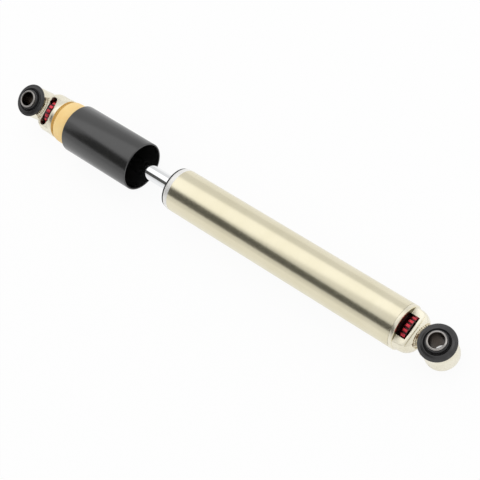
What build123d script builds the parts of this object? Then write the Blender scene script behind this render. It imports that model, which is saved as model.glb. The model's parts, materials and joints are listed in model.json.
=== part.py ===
from build123d import *
import math
import os

# Rear damper of a height adjustable suspension kit: a twin tube body with a steel eye welded to each end,
# a rubber bush in each eye, a black dust tube over the rod, and a red adjuster wheel in each end housing.
# Lengths are millimetres. The origin is the middle of the lower eye's bore.
# X runs along the damper to the upper eye, and Z is the lower eye's bore axis, square to one housing flat.

# Lengths along the damper, drawn fully extended, from the lower eye to the upper eye
lower_standoff = 40.0           # lower eye to the end of the body tube
body_length = 269.0
cap_height = 6.4                # closing cap, above the body tube
stop_plate_height = 1.3         # black plate on the cap, which the bump stop lands on
rod_showing = 47.8              # bare rod between the cap and the dust tube
dust_length = 92.0
stop_flange_length = 17.5       # bump stop, above the dust tube
stop_neck_length = 3.4
upper_housing_length = 24.6
upper_standoff = 18.0           # end of the upper housing to the upper eye
upper_eye_turn = -17.6          # degrees about X between the two eyes
stroke = 125.0
stop_squeeze = 21.7             # how far the bump stop is crushed at the end of the stroke

# Named clearances
running_fit = 0.04              # radial, for what turns or slides
seat_fit = 0.03                 # radial, for what is pushed together and stays
face_gap = 0.05                 # between faces that are clamped or seated
free_gap = 0.3                  # between faces that pass each other

# Eyes, bushes and sleeves
eye_ring_od = 32.8
eye_ring_wall = 2.9
eye_ring_width = 26.0
eye_ring_chamfer = 0.6
bush_rim_od = 35.8              # on the side of the window and the slot
bush_back_rim_od = 30.2         # on the other side, where the bush was pressed in
bush_rim_bead = 1.5
bush_face_height = 2.2          # rubber face, above the side of the eye ring
bush_face_rise = 0.9            # the same face, higher toward the sleeve
bush_collar_height = 5.4        # thin rubber collar that climbs the sleeve, from the same side
bush_collar_wall = 1.1
bush_groove_depth = 1.1
bush_groove_width = 2.7
sleeve_od = 18.5
sleeve_bore = 14.2
sleeve_length = 41.0
sleeve_chamfer = 0.7

# Body tube and pressure tube
body_od = 45.0
body_wall = 2.0
pressure_bore = 30.0
pressure_wall = 1.5

# Necks and welds
neck_sink = 1.9                 # how far the neck wraps round the eye ring
neck_half_height = 8.7
neck_corner = 2.5
neck_side_gap = 0.3             # neck, inside the faces of the eye ring
neck_flat_over = 1.0            # flat beside the eye, outside the back face of the eye ring
neck_step = 1.5                 # neck, lower than the machined flat of its housing
weld_radius = 1.3
weld_front_radius = 2.0
weld_front_sink = 0.9           # middle of the front bead, under the neck's plateau
weld_side_radius = 2.1
weld_reach = 32                 # degrees round the eye, each way

# Lower housing
shoulder = 3.6                  # full round band left between the flat and the body tube
head_under = 1.3                # head, smaller than the band
head_taper = 0.5                # and how much smaller again where its corner begins
head_taper_length = 5.4
head_corner = 12.0              # round between the head and the neck
flat_length = 11.7
flat_height = 9.5               # flat, from the middle of the damper
flat_below_pocket = 3.1
pocket_past_flat = 1.6          # pocket, under the shoulder
spigot_length = 14.0            # inside the body tube

# Adjuster wheels
compression_wheel_radius = 14.4
rebound_wheel_radius = 15.35
wheel_rim_thickness = 4.8
wheel_hub_inset = 1.9           # hub, inside the rim
wheel_edge = 0.5
wheel_play = 0.55               # radial, to its pocket
wheel_floor_gap = 1.1           # under the lower wheel
slotted_floor_gap = 0.2         # under the upper wheel
wheel_top_gap = 0.4
wheel_notches = 18
compression_first_notch = 12.2  # degrees from the middle of the window
rebound_first_notch = 10.0
notch_radius = 1.3
notch_depth = 1.0
dimple_count = 12
dimple_circle = 9.0
dimple_depth = 0.4
click_ball_radius = 1.75
click_wire = 0.5
click_coil_radius = 1.3
click_turns = 3
click_clearance = 0.1

# Base valve
carrier_step = 2.1              # carrier bore, outside the wheel pocket
carrier_flange = 4.0
carrier_boss = 10.0
carrier_seal_place = 9.0        # from the carrier's lower face
carrier_seal_width = 3.0
carrier_seal_depth = 2.4
needle_seal_place = 5.0
needle_seal_width = 2.2
needle_seal_depth = 1.8
needle_radius = 4.0
needle_tail_radius = 3.0
needle_tail_room = 5.0
needle_tip_radius = 1.6
needle_taper = 4.0
orifice_radius = 2.6
valve_stem_wall = 2.3
valve_stem_length = 5.0
valve_head_radius = 7.0
valve_head_height = 4.0
valve_chamber_wall = 2.2
port_radius = 1.5
port_circle = 9.6
port_count = 6
cross_hole_radius = 1.4
shim_thickness = 0.3
shim_slack = 0.015              # between two shims of a stack
shim_count = 4
shim_radius = 12.0
shim_step = 1.0

# Rod, guide, seal and cap
rod_diameter = 16.0
rod_bore_radius = 2.6
rod_seat_radius = 1.4           # narrow lower end of the bore, which the adjuster closes
rod_seat_length = 5.0
rod_chamfer = 0.8
adjuster_radius = 2.45
adjuster_tip_radius = 0.8
adjuster_tip_lift = 2.0         # tip, above the narrow seat, with the adjuster backed off
adjuster_taper = 5.0
adjuster_over_pocket = 1.5      # top of the adjuster, above the wheel's pocket
rod_stud_radius = 6.0
rod_stud_end = 1.5              # stud past its nut
rod_top_radius = 7.0
guide_spigot = 10.0
guide_length = 23.0
guide_cone = 6.0
guide_recess_radius = 13.0
guide_recess_depth = 5.0
guide_bush_wall = 1.5
guide_bush_inset = 1.0
drain_hole_radius = 1.2
drain_hole_inset = 2.5          # circle of the holes, inside the bore of the body tube
drain_hole_count = 4
seal_thickness = 4.0
seal_lip_reach = 3.5
seal_lip_relief = 0.8           # hollow between the two lips
seal_lip_width = 2.0
seal_lip_chamfer = 0.6
seal_web = 1.5
cap_thread = 2.0
cap_inset = 0.2                 # rim of the cap, inside the outside of the body tube
cap_round = 2.4
cap_bore_play = 1.0
wiper_depth = 5.0
wiper_wall = 5.2
wiper_body_play = 1.0           # wiper body, clear of the rod
wiper_body_height = 2.4
wiper_lip_rise = 1.4            # lip, above the cap
wiper_lip_edge = 0.6
wiper_lip_back = 2.2
wiper_shoulder = 0.2
spanner_hole_radius = 2.2
spanner_hole_depth = 3.5
spanner_hole_inset = 5.1        # circle of the holes, inside the rim of the cap
spanner_hole_count = 4
plate_inset = 0.9               # stop plate, inside the rim of the cap
plate_over_wiper = 0.7          # and over the edge of the wiper
plate_edge = 0.4

# Piston
piston_thickness = 12.0
piston_relief = 0.4
band_width = 7.0
band_wall = 1.4
bumper_length = 7.6
bumper_radius = 13.0
bumper_round = 2.4
washer_thickness = 2.0
piston_nut_length = 7.5
piston_nut_radius = 10.5

# Bump stop and dust tube
dust_od = 51.7
dust_wall = 1.5
dust_lip = 2.0
dust_edge = 0.8
stop_flange_radius = 22.8
stop_neck_radius = 20.5         # under the dust tube's lip
stop_top_radius = 17.0          # between the flange and the upper housing
stop_nose_radius = 12.0
stop_edge = 2.0
stop_bore_play = 0.3
stop_bulge_radii = (16.8, 18.2)     # from the nose up
stop_waist_radii = (14.2, 15.2)
stop_bulge_places = (0.17, 0.53)    # share of the way from the nose to the grip
stop_waist_places = (0.33, 0.72)
stop_grip_length = 2.5              # thick band under the dust tube's lip
stop_grip_radius = 21.9

# Upper housing
upper_radius = 21.7
upper_band = 5.1                # full round band, below the flat
upper_under = 0.5               # head, smaller than the band
upper_round = 7.0
upper_flat_length = 15.9
upper_flat_over = 0.2           # flat, over the end face of the eye ring
upper_end_wall = 5.0            # solid end, above the wheel's pocket
slot_width = 7.8
socket_wall = 1.6               # housing wall round the rod socket, at the flat

# Sizes that follow from the ones above
body_start = lower_standoff
body_end = body_start + body_length
cap_top = body_end + cap_height
plate_top = cap_top + stop_plate_height
dust_start = plate_top + rod_showing
dust_end = dust_start + dust_length
stop_top = dust_end + stop_flange_length
upper_start = stop_top + stop_neck_length
upper_end = upper_start + upper_housing_length
eye_to_eye = upper_end + upper_standoff
stop_start = plate_top + stroke - stop_squeeze
body_radius = body_od / 2
body_inner = body_radius - body_wall
pressure_inner = pressure_bore / 2
pressure_outer = pressure_inner + pressure_wall
rod_radius = rod_diameter / 2
eye_ring_radius = eye_ring_od / 2
eye_ring_inner = eye_ring_radius - eye_ring_wall
eye_half = eye_ring_width / 2
sleeve_radius = sleeve_od / 2
bush_rim_radius = bush_rim_od / 2
bush_back_radius = bush_back_rim_od / 2
neck_flat = eye_half + neck_flat_over
upper_flat_height = eye_half + upper_flat_over
cap_radius = body_radius - cap_inset
drain_hole_circle = body_inner - drain_hole_inset
spanner_hole_circle = cap_radius - spanner_hole_inset
dust_radius = dust_od / 2
dust_inner = dust_radius - dust_wall
flat_end = body_start - shoulder
flat_start = flat_end - flat_length
pocket_start = flat_start + flat_below_pocket
carrier_start = flat_end + pocket_past_flat
compression_pocket_radius = compression_wheel_radius + wheel_play
carrier_bore_radius = compression_pocket_radius + carrier_step
spigot_end = body_start + spigot_length
flange_start = spigot_end + face_gap
flange_end = flange_start + carrier_flange
boss_end = flange_end + carrier_boss
valve_stem_radius = orifice_radius + valve_stem_wall
guide_end = body_end - cap_thread - seal_thickness
guide_start = guide_end - guide_length
seal_start = guide_end + face_gap
seal_end = seal_start + seal_thickness
spigot_lower = guide_start - guide_spigot
bumper_end = spigot_lower - free_gap
rod_shoulder = bumper_end - bumper_length
shim_stack_height = shim_count * shim_thickness + 2 * face_gap
piston_top = rod_shoulder - washer_thickness - shim_stack_height
piston_low = piston_top - piston_thickness
nut_face = piston_low - shim_stack_height
rod_low = nut_face - piston_nut_length - rod_stud_end
band_inner = pressure_inner - running_fit - band_wall
lip_start = dust_end - dust_lip
lip_radius = stop_neck_radius + face_gap
upper_flat_start = upper_start + upper_band
upper_flat_end = upper_flat_start + upper_flat_length
upper_pocket_end = upper_end - upper_end_wall
upper_pocket_start = upper_pocket_end - slot_width
upper_pocket_radius = rebound_wheel_radius + wheel_play
socket_radius = upper_flat_height - socket_wall
compression_wheel_start = pocket_start + wheel_floor_gap
compression_wheel_end = carrier_start - wheel_top_gap
rebound_wheel_start = upper_pocket_start + slotted_floor_gap
rebound_wheel_end = upper_pocket_end - wheel_top_gap
click_spring_room = click_turns * 2 * click_wire


def turned(points):
    """A solid turned about X from corners given as (x, radius)."""
    outline = Polyline(*points, close=True)
    return revolve(make_face(outline), axis=Axis.X)


def tube(start, end, outer, inner=0.0):
    """A plain tube, or a disc where no inner radius is given, along X."""
    return turned([(start, inner), (end, inner), (end, outer), (start, outer)])


def spots(count, circle, first=0.0):
    """Places evenly spaced on a circle round X, as (y, z), from a first angle measured from Z toward Y."""
    places = []
    for turn in range(count):
        angle = math.radians(first + turn * 360 / count)
        places.append((circle * math.sin(angle), circle * math.cos(angle)))
    return places


def drilled(body, count, circle, radius, start, end):
    """The body with a ring of round holes along X."""
    for y, z in spots(count, circle):
        body -= Pos(0, y, z) * tube(start, end, radius)
    return body


def ring_groove(center, width, outer, bottom):
    """The room of a groove, to be cut from a bore or a shaft."""
    return tube(center - width / 2, center + width / 2, outer, bottom)


def o_ring(center, outer, inner):
    """A rubber ring that fills the groove between two radii."""
    section = (outer - inner) / 2 - seat_fit
    return Pos(center, 0, 0) * (Rot(Y=90) * Torus((outer + inner) / 2, section))


def round_bar(radius, length):
    """A bar along Z, centred on the origin."""
    return extrude(Circle(radius), amount=length / 2, both=True)


def to_upper_eye(shape):
    """Carries a piece drawn at the lower eye over to the upper eye."""
    return Pos(eye_to_eye, 0, 0) * (Rot(X=upper_eye_turn) * (Rot(Z=180) * shape))


# Eyes

def eye_ring():
    ring = round_bar(eye_ring_radius, eye_ring_width) - round_bar(eye_ring_inner, eye_ring_width)
    return chamfer(ring.edges().filter_by(GeomType.CIRCLE), eye_ring_chamfer)


def bush_half(rim):
    """Half of the rubber bush, turned about the bore axis, with a beaded rim beside the eye ring."""
    inner = sleeve_radius + running_fit
    outer = eye_ring_inner - seat_fit
    collar = inner + bush_collar_wall
    collar_top = eye_half + bush_collar_height
    foot = collar + bush_groove_width
    face = eye_half + bush_face_height
    crest = face + bush_face_rise
    bottom = face - bush_groove_depth
    back = eye_half + face_gap
    lip = rim - bush_rim_bead / 3
    bead = rim - bush_rim_bead
    step = bottom + bush_groove_depth / 2
    outline = [
        Line((inner, 0), (inner, collar_top)),
        Line((inner, collar_top), (collar, collar_top)),
        Line((collar, collar_top), (collar, step)),
        ThreePointArc((collar, step), ((collar + foot) / 2, bottom), (foot, crest)),
        Line((foot, crest), (bead, face)),
        ThreePointArc((bead, face), (rim, (face + back) / 2), (lip, back)),
        Line((lip, back), (outer, back)),
        Line((outer, back), (outer, 0)),
        Line((outer, 0), (inner, 0)),
    ]
    return revolve(Plane.XZ * make_face(Curve(children=outline).edges()), axis=Axis.Z)


def bush():
    return bush_half(bush_rim_radius) + mirror(bush_half(bush_back_radius), about=Plane.XY)


def sleeve():
    steel = round_bar(sleeve_radius, sleeve_length) - round_bar(sleeve_bore / 2, sleeve_length)
    return chamfer(steel.edges().filter_by(GeomType.CIRCLE), sleeve_chamfer)


def eye_saddle():
    """The room that the eye ring takes, used to shape whatever is welded to it."""
    return round_bar(eye_ring_radius + seat_fit, 2 * body_od)


def neck(length):
    """Block with rounded corners that joins a housing to its eye ring."""
    width = eye_ring_width - 2 * neck_side_gap
    section = Plane.YZ * RectangleRounded(2 * neck_half_height, width, neck_corner)
    return extrude(section, amount=length)


def weld(blank, plateau):
    """Weld on a housing blank: a bead on the neck's plateau, one on its back, and one down each side."""
    front_circle = eye_ring_radius + weld_front_radius
    front = weld_bead(front_circle, weld_front_radius)
    back = weld_bead(bush_back_radius + free_gap + weld_side_radius + weld_radius, weld_radius)
    bead = Pos(0, 0, plateau - weld_front_sink) * front + Pos(0, 0, -eye_half) * back
    side_bead = extrude(Circle(weld_side_radius), amount=plateau + eye_half)
    for side in (-weld_reach, weld_reach):
        bead += Rot(Z=side) * (Pos(eye_ring_radius, 0, -eye_half) * side_bead)
    return bead - round_bar(eye_ring_radius + seat_fit, eye_ring_width + face_gap) - blank


def weld_bead(circle, radius):
    """A round bead on a part of a circle about the bore axis."""
    arc = CenterArc((0, 0, 0), circle, -weld_reach, 2 * weld_reach)
    return sweep(Plane(origin=arc @ 0, z_dir=arc % 0) * Circle(radius), path=arc)


def block_over(start, end, height):
    """The room over a flat at a height above the damper's axis, toward Z."""
    block = Box(end - start, 2 * body_od, body_od, align=(Align.MIN, Align.CENTER, Align.MIN))
    return Pos(start, 0, height) * block


# Lower housing with the compression adjuster

def lower_blank():
    """The lower housing before its rooms are cut: a band, a head and a neck, with a flat and a spigot."""
    neck_start = eye_ring_radius - neck_sink
    head_radius = body_radius - head_under
    head_low_radius = head_radius - head_taper
    neck_radius = head_low_radius - head_corner
    corner_end = flat_end - head_taper_length
    corner_start = corner_end - head_corner
    along = head_corner * math.sin(math.pi / 4)
    middle = (corner_end - along, neck_radius + along)
    spigot = body_inner - seat_fit
    outline = [
        Line((neck_start, 0), (neck_start, neck_radius)),
        Line((neck_start, neck_radius), (corner_start, neck_radius)),
        ThreePointArc((corner_start, neck_radius), middle, (corner_end, head_low_radius)),
        Line((corner_end, head_low_radius), (flat_end, head_radius)),
        Line((flat_end, head_radius), (flat_end, body_radius)),
        Line((flat_end, body_radius), (body_start, body_radius)),
        Line((body_start, body_radius), (body_start, spigot)),
        Line((body_start, spigot), (spigot_end, spigot)),
        Line((spigot_end, spigot), (spigot_end, 0)),
        Line((spigot_end, 0), (neck_start, 0)),
    ]
    shell = revolve(make_face(Curve(children=outline).edges()), axis=Axis.X)
    shell += Pos(neck_start, 0, 0) * neck(flat_start - neck_start)
    shell -= block_over(0, flat_start, flat_height - neck_step)
    shell -= block_over(flat_start, flat_end, flat_height)
    shell -= Rot(X=180) * block_over(0, flat_start, eye_half + neck_flat_over)
    return shell - eye_saddle()


def lower_housing():
    """The blank, bored for the wheel and the base carrier. The wheel's pocket breaks through the flat."""
    shell = lower_blank()
    shell -= tube(pocket_start, carrier_start, compression_pocket_radius)
    shell -= tube(carrier_start, spigot_end, carrier_bore_radius)
    return shell - tube(pocket_start - needle_tail_room, pocket_start, needle_tail_radius + free_gap)


def wheel(start, end, radius, bore, first_notch):
    """Adjuster wheel: a rim notched for a fingertip or a pin, and a hub with click dimples in its end."""
    rim_end = start + wheel_rim_thickness
    hub = radius - wheel_hub_inset
    disc = turned([
        (start, bore), (end, bore), (end, hub - wheel_edge), (end - wheel_edge, hub), (rim_end, hub),
        (rim_end, radius - wheel_edge), (rim_end - wheel_edge, radius), (start + wheel_edge, radius),
        (start, radius - wheel_edge),
    ])
    for y, z in spots(wheel_notches, radius + notch_radius - notch_depth, first_notch):
        disc -= Pos(0, y, z) * tube(start, rim_end, notch_radius)
    for y, z in spots(dimple_count, dimple_circle):
        disc -= Pos(end + click_ball_radius - dimple_depth, y, z) * Sphere(click_ball_radius)
    return disc


def click_ball(face):
    """Ball that drops into the dimples of a wheel's end, on the side away from the window."""
    return Pos(face + click_ball_radius + click_clearance, 0, -dimple_circle) * Sphere(click_ball_radius)


def click_hole(face):
    """Blind hole for a click ball and its spring, over a wheel's top face."""
    end = face + 2 * click_ball_radius + click_clearance + click_spring_room
    return Pos(0, 0, -dimple_circle) * tube(face, end, click_ball_radius + click_clearance)


def click_spring(face):
    """Small coil behind the ball."""
    low = face + 2 * click_ball_radius + click_clearance + click_wire / 2 + face_gap
    height = click_spring_room - click_wire - 2 * face_gap
    coil = Helix(pitch=height / click_turns, height=height, radius=click_coil_radius)
    wire = Plane(origin=coil @ 0, z_dir=coil % 0) * RegularPolygon(click_wire / 2, 6)
    spring = sweep(wire, path=coil, is_frenet=True)
    return Pos(low, 0, -dimple_circle) * (Rot(Y=90) * spring)


def base_carrier():
    """Plug that closes the body and carries the base valve, drilled for the needle and the oil passages."""
    low = carrier_start + face_gap
    bore = carrier_bore_radius - seat_fit
    boss = pressure_inner - seat_fit
    flange = body_inner - seat_fit
    body = turned([
        (low, 0), (boss_end, 0), (boss_end, boss), (flange_end, boss),
        (flange_end, flange), (flange_start, flange), (flange_start, bore), (low, bore),
    ])
    stem_seat = boss_end - valve_stem_length
    body -= tube(low, boss_end, needle_radius + running_fit)
    body -= tube(flange_start, stem_seat, needle_radius + valve_chamber_wall)
    body -= tube(stem_seat, boss_end, valve_stem_radius)
    seal_bottom = carrier_bore_radius - carrier_seal_depth
    body -= ring_groove(low + carrier_seal_place, carrier_seal_width, carrier_bore_radius, seal_bottom)
    needle_groove = needle_radius + needle_seal_depth
    body -= ring_groove(low + needle_seal_place, needle_seal_width, needle_groove, needle_radius)
    middle = (flange_start + flange_end) / 2
    body = drilled(body, port_count, port_circle, port_radius, middle, boss_end)
    cross_hole = Pos(middle, 0, 0) * round_bar(cross_hole_radius, body_od)
    for turn in range(port_count // 2):
        body -= Rot(X=turn * 360 / port_count) * cross_hole
    return body - click_hole(compression_wheel_end)


def base_valve_bolt():
    """Hollow bolt that clamps the base valve shims. The needle closes its lower mouth."""
    head = boss_end + shim_stack_height
    stem = tube(boss_end - valve_stem_length, head, valve_stem_radius - seat_fit, orifice_radius)
    hexagon = Plane.YZ * (RegularPolygon(valve_head_radius, 6) - Circle(orifice_radius))
    return stem + Pos(head, 0, 0) * extrude(hexagon, amount=valve_head_height)


def shim_stack(start, toward, inner):
    """Thin spring discs, each one step smaller than the one before, stacked along X or against it."""
    discs = []
    for index in range(shim_count):
        near = start + toward * (face_gap + index * shim_thickness)
        far = near + toward * (shim_thickness - shim_slack)
        discs.append(tube(near, far, shim_radius - index * shim_step, inner))
    return discs


def compression_needle():
    tail = pocket_start - needle_tail_room / 2
    step = carrier_start + wheel_play
    tip = boss_end - valve_stem_length - wheel_play
    return turned([
        (tail, 0), (tip, 0), (tip, needle_tip_radius), (tip - needle_taper, orifice_radius),
        (tip - needle_taper, needle_radius), (step, needle_radius), (step, needle_tail_radius),
        (tail, needle_tail_radius),
    ])


# Body

def body_tube():
    return tube(body_start + face_gap, body_end, body_radius, body_inner)


def pressure_tube():
    return tube(flange_end + face_gap, guide_start - face_gap, pressure_outer, pressure_inner)


def rod_guide():
    """Guide that centres the rod and both tubes, with a recess that catches oil and drains it outside."""
    bush_seat = rod_radius + running_fit + guide_bush_wall + seat_fit
    floor = guide_end - guide_recess_depth
    outer = body_inner - seat_fit
    guide = turned([
        (spigot_lower, bush_seat), (floor, bush_seat), (floor, guide_recess_radius),
        (guide_end, guide_recess_radius), (guide_end, outer), (guide_start + guide_cone, outer),
        (guide_start, pressure_outer), (guide_start, pressure_inner - seat_fit),
        (spigot_lower, pressure_inner - seat_fit),
    ])
    return drilled(guide, drain_hole_count, drain_hole_circle, drain_hole_radius, guide_start, guide_end)


def guide_bush():
    inner = rod_radius + running_fit
    end = guide_end - guide_recess_depth - guide_bush_inset
    return tube(spigot_lower + guide_bush_inset, end, inner + guide_bush_wall, inner)


def rod_seal():
    """Lip seal: a flange clamped on the guide, and two lips on the rod."""
    lip = rod_radius + running_fit
    low = seal_start - seal_lip_reach
    hollow = seal_start - seal_lip_reach + seal_lip_width + seal_lip_chamfer
    rim = guide_recess_radius - free_gap
    flange = body_inner - seat_fit
    return turned([
        (low, (lip + rim) / 2), (low, lip), (hollow, lip + seal_lip_relief),
        (seal_end - seal_lip_width, lip), (seal_end, lip + seal_lip_chamfer),
        (seal_end, flange), (seal_start, flange),
        (seal_start, rim), (seal_start - seal_web, rim),
    ])


def closing_cap():
    """Ring nut that closes the body, with a rounded rim and pin holes for a spanner."""
    low = seal_end + face_gap
    flange = body_end + face_gap
    recess = rod_radius + wiper_wall
    floor = cap_top - wiper_depth
    bore = rod_radius + cap_bore_play
    cap = turned([
        (low, bore), (floor, bore), (floor, recess), (cap_top, recess), (cap_top, cap_radius),
        (flange, cap_radius), (flange, body_inner - seat_fit), (low, body_inner - seat_fit),
    ])
    rim = cap.edges().filter_by(GeomType.CIRCLE).group_by(Axis.X)[-1].sort_by(SortBy.RADIUS)[-1]
    cap = fillet(rim, cap_round)
    start = cap_top - spanner_hole_depth
    return drilled(cap, spanner_hole_count, spanner_hole_circle, spanner_hole_radius, start, cap_top)


def stop_plate():
    """Black plate that lies on the cap and takes the blows of the bump stop."""
    low = cap_top + face_gap
    plate = tube(low, plate_top, cap_radius - plate_inset, rod_radius + wiper_wall - plate_over_wiper)
    return chamfer(plate.edges().filter_by(GeomType.CIRCLE).group_by(Axis.X)[-1], plate_edge)


def rod_wiper():
    """Scraper pressed in the cap, with a lip that leans out along the rod."""
    inner = rod_radius + running_fit
    outer = rod_radius + wiper_wall - seat_fit
    low = cap_top - wiper_depth + face_gap
    body = inner + wiper_body_play
    tip = cap_top + wiper_lip_rise
    return turned([
        (low, body), (low + wiper_body_height, body), (tip - wiper_lip_edge, inner),
        (tip, inner + wiper_lip_edge), (cap_top + wiper_shoulder, inner + wiper_lip_back),
        (cap_top - wiper_shoulder, outer), (low, outer),
    ])


# Rod and piston

def piston_rod():
    """Hollow chromed rod: a stepped stud for the piston, a narrow seat in its lower end and a plain top."""
    top = upper_pocket_start - face_gap
    shoulder_top = upper_start - face_gap
    seat_end = rod_low + rod_seat_length
    return turned([
        (rod_low, rod_seat_radius), (seat_end, rod_seat_radius), (seat_end, rod_bore_radius),
        (top, rod_bore_radius), (top, rod_top_radius - rod_chamfer), (top - rod_chamfer, rod_top_radius),
        (shoulder_top, rod_top_radius), (shoulder_top, rod_radius), (rod_shoulder, rod_radius),
        (rod_shoulder, rod_stud_radius), (rod_low + rod_chamfer, rod_stud_radius),
        (rod_low, rod_stud_radius - rod_chamfer),
    ])


def on_stud(start, end, outer):
    """A disc that sits on the rod's lower stud."""
    return tube(start, end, outer, rod_stud_radius + seat_fit)


def top_out_bumper():
    inner = rod_radius + seat_fit
    nose = bumper_end - bumper_round
    return turned([
        (rod_shoulder, inner), (bumper_end, inner), (bumper_end, bumper_radius - bumper_round),
        (nose, bumper_radius), (rod_shoulder, bumper_radius),
    ])


def piston():
    body = on_stud(piston_low, piston_top, pressure_inner - piston_relief)
    middle = (piston_low + piston_top) / 2
    body -= ring_groove(middle, band_width, pressure_inner, band_inner - running_fit)
    return drilled(body, port_count, port_circle, port_radius, piston_low, piston_top)


def piston_band():
    middle = (piston_low + piston_top) / 2
    return ring_groove(middle, band_width - 2 * face_gap, pressure_inner - running_fit, band_inner)


def piston_nut():
    hexagon = Plane.YZ * (RegularPolygon(piston_nut_radius, 6) - Circle(rod_stud_radius + seat_fit))
    return Pos(nut_face, 0, 0) * extrude(hexagon, amount=-piston_nut_length)


def rebound_adjuster():
    low = rod_low + rod_seat_length + adjuster_tip_lift
    top = upper_pocket_end + adjuster_over_pocket
    return turned([
        (low, 0), (top, 0), (top, adjuster_radius), (low + adjuster_taper, adjuster_radius),
        (low, adjuster_tip_radius),
    ])


# Bump stop and dust tube

def bump_stop():
    """Foam bump stop: bulges and waists inside the dust tube, and a flange that shows above it."""
    inner = rod_radius + stop_bore_play
    nose = stop_start + stop_edge
    grip_start = lip_start - stop_grip_length
    length = grip_start - nose
    swells = [(nose, stop_nose_radius + stop_edge)]
    for bulge, bulge_place, waist, waist_place in zip(
        stop_bulge_radii, stop_bulge_places, stop_waist_radii, stop_waist_places
    ):
        swells.append((nose + bulge_place * length, bulge))
        swells.append((nose + waist_place * length, waist))
    swells.append((grip_start, stop_neck_radius))
    groove_low = lip_start - face_gap
    groove_high = dust_end + face_gap
    top = upper_start - face_gap
    flange = stop_flange_radius
    edge_start = stop_top - stop_edge
    edge = RadiusArc((edge_start, flange), (stop_top, flange - stop_edge), stop_edge)
    outline = [
        Line((stop_start, inner), (stop_start, stop_nose_radius)),
        Line((stop_start, stop_nose_radius), swells[0]),
        Spline(*swells),
        Line((grip_start, stop_neck_radius), (groove_low, stop_grip_radius)),
        Line((groove_low, stop_grip_radius), (groove_low, stop_neck_radius)),
        Line((groove_low, stop_neck_radius), (groove_high, stop_neck_radius)),
        Line((groove_high, stop_neck_radius), (groove_high, flange)),
        Line((groove_high, flange), (edge_start, flange)),
        edge,
        Line((stop_top, flange - stop_edge), (stop_top, stop_top_radius)),
        Line((stop_top, stop_top_radius), (top, stop_top_radius)),
        Line((top, stop_top_radius), (top, inner)),
        Line((top, inner), (stop_start, inner)),
    ]
    return revolve(make_face(Curve(children=outline).edges()), axis=Axis.X)


def dust_tube():
    """Thin tube with a lip at the top that grips the bump stop's groove."""
    return turned([
        (dust_start, dust_inner), (lip_start, dust_inner), (lip_start, lip_radius), (dust_end, lip_radius),
        (dust_end, dust_radius - dust_edge), (dust_end - dust_edge, dust_radius),
        (dust_start + dust_edge / 2, dust_radius), (dust_start, dust_radius - dust_edge / 2),
    ])


# Upper housing with the rebound adjuster, drawn with its slot toward Z and then turned with the eye

def upper_blank():
    """The upper housing before its rooms are cut: a band, a head with a flat, and a neck to the eye."""
    head = tube(upper_flat_start, upper_end, upper_radius - upper_under)
    rim = head.edges().filter_by(GeomType.CIRCLE).sort_by(Axis.X)[-1]
    head = fillet(rim, upper_round)
    head += tube(upper_start, upper_flat_start, upper_radius)
    neck_length = upper_round + neck_sink + upper_standoff - eye_ring_radius
    head += Pos(upper_end - upper_round, 0, 0) * neck(neck_length)
    head -= block_over(upper_flat_start, upper_flat_end, upper_flat_height)
    head -= block_over(upper_flat_end, eye_to_eye, upper_flat_height - neck_step)
    return head - Pos(eye_to_eye, 0, 0) * eye_saddle()


def upper_housing():
    """The blank, bored for the socket, the wheel and the adjuster, with a slot that lets the wheel in."""
    shell = upper_blank()
    shell -= tube(upper_start, upper_pocket_start, socket_radius)
    shell -= tube(upper_pocket_start, upper_pocket_end, upper_pocket_radius)
    shell -= tube(upper_pocket_end, upper_pocket_end + upper_end_wall / 2, adjuster_radius + free_gap)
    slot = SlotOverall(2 * upper_pocket_radius, slot_width, rotation=90)
    middle = Plane(origin=(upper_pocket_start + slot_width / 2, 0, 0))
    shell -= extrude(middle * slot, amount=body_od)
    return shell - click_hole(rebound_wheel_end)


def rod_socket():
    """Threaded disc that joins the rod to the upper housing and closes the wheel's pocket."""
    end = upper_pocket_start - face_gap
    return tube(upper_start, end, socket_radius - seat_fit, rod_top_radius + seat_fit)


# Pieces, each written to a file of its own

turn = Rot(X=upper_eye_turn)
upper_blank_as_lower = Rot(Z=180) * (Pos(-eye_to_eye, 0, 0) * upper_blank())
base_shims = shim_stack(boss_end, 1, valve_stem_radius)
piston_shims = shim_stack(rod_shoulder - washer_thickness, -1, rod_stud_radius + seat_fit)
piston_shims += shim_stack(piston_low, -1, rod_stud_radius + seat_fit)
needle_groove = carrier_start + face_gap + needle_seal_place
carrier_groove = carrier_start + face_gap + carrier_seal_place
needle_fit = needle_radius + running_fit
compression_wheel = wheel(
    compression_wheel_start, compression_wheel_end, compression_wheel_radius,
    needle_tail_radius + running_fit, compression_first_notch,
)
rebound_wheel = wheel(
    rebound_wheel_start, rebound_wheel_end, rebound_wheel_radius,
    adjuster_radius + running_fit, rebound_first_notch,
)

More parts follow.
